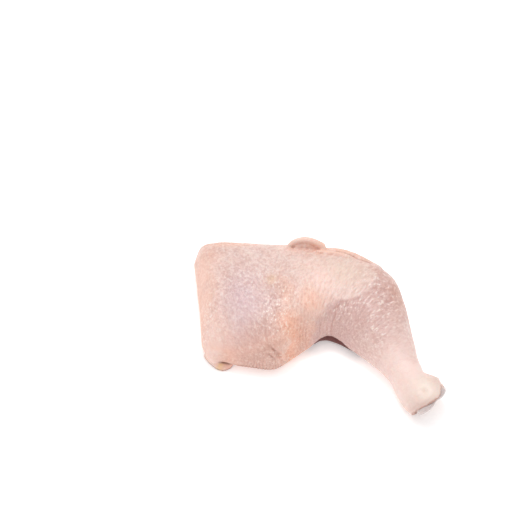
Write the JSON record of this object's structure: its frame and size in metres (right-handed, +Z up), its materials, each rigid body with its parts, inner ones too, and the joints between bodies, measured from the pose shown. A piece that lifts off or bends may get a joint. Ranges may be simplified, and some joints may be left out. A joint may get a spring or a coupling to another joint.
{
  "type": "raw chicken leg quarter",
  "caption": "Raw chicken leg quarter lying skin side up: a plump thigh and drumstick in one pale skin, cut at the hock so the end of the shin bone shows.",
  "frame": {"origin": "on the surface it lies on, in the middle of its outline", "axes": "+X from the cut side of the thigh towards the hock, -Y the side of the notch between thigh and drumstick, +Z up from the flat underside through the skin side"},
  "size_m": [0.1759, 0.1441, 0.0447],
  "materials": {
    "skin": "moist raw skin, pale pink to peach",
    "cartilage": "wet gristle, greyish white"
  },
  "bodies": {
    "root": {"leg_quarter": "skin", "shin_bone": "cartilage"}
  },
  "joints": []
}
